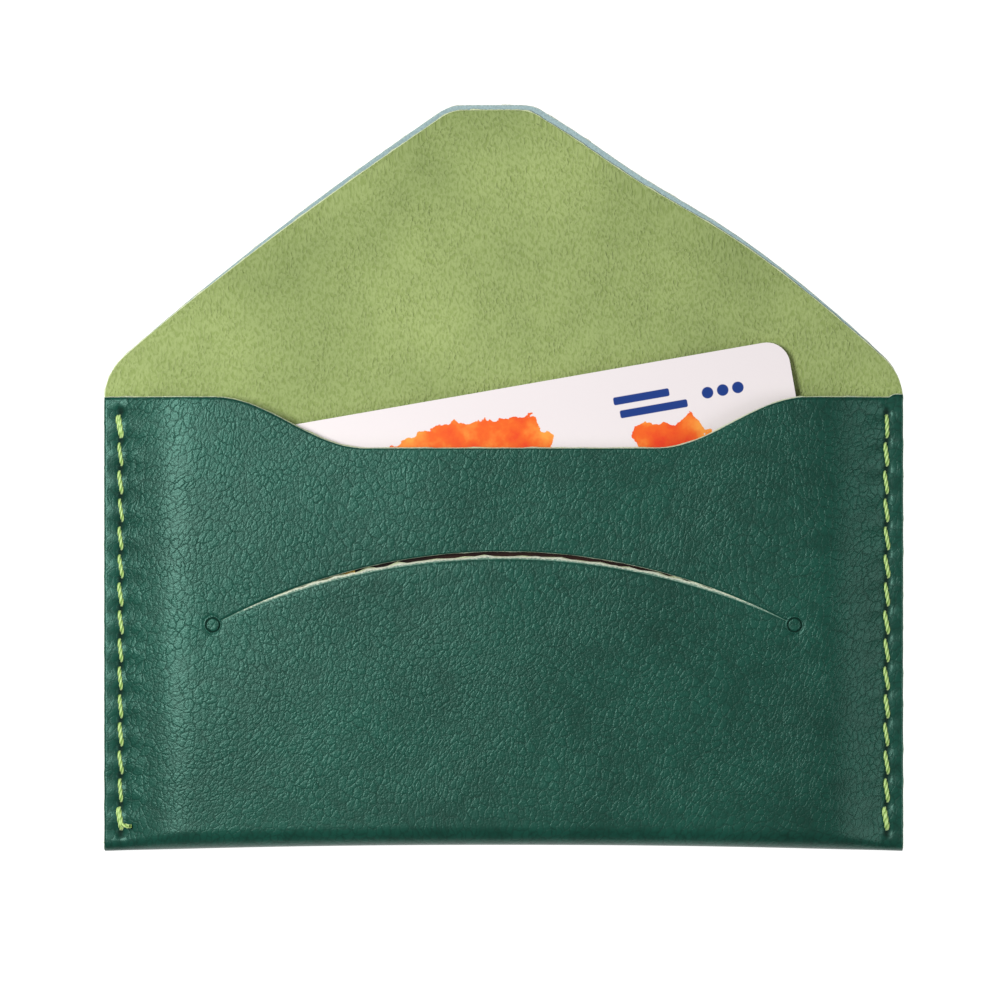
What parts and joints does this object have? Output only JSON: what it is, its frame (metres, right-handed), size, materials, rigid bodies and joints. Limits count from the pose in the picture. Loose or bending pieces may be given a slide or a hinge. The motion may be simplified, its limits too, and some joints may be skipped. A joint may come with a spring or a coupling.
{
  "type": "card holder",
  "caption": "Flat envelope-style leather card holder: folded front pocket with a thumb scoop and a curved tuck slit, sewn side seams, a tapered fold-over flap and a card that slides in.",
  "frame": {"origin": "centre of the back panel's outer face, midway between the bottom fold and the front panel's top edge; the holder lies on this face", "axes": "+X to the right as the front is looked at, +Y from the bottom fold to the flap's tip, +Z out of the front panel"},
  "size_m": [0.109, 0.102, 0.0052],
  "materials": {
    "outer_leather": "pebbled grain, satin",
    "lining": "fine wrinkled grain, matt",
    "thread": "waxed twisted thread",
    "card": "laminated print",
    "chip": "gold-plated contacts",
    "stripe": "magnetic coating"
  },
  "bodies": {
    "holder": {"front_leather": "outer_leather", "front_lining": "lining", "bottom_fold_leather": "outer_leather", "bottom_fold_lining": "lining", "back_leather": "outer_leather", "back_lining": "lining", "left_seam_thread": "thread", "right_seam_thread": "thread"},
    "flap": {"flap_leather": "outer_leather", "flap_lining": "lining"},
    "card": {"card_body": "card", "card_chip": "chip", "card_stripe": "stripe"}
  },
  "joints": [
    {"name": "flap_fold", "type": "hinge", "parent": "holder", "child": "flap", "pos_m": [0, 0.0375, 0.0035], "axis": [1, 0, 0], "range_deg": [0, 180]},
    {"name": "card_slide", "type": "slide", "parent": "holder", "child": "card", "axis": [0.1719, -0.9851, 0], "range_m": [-0.045, 0]}
  ]
}
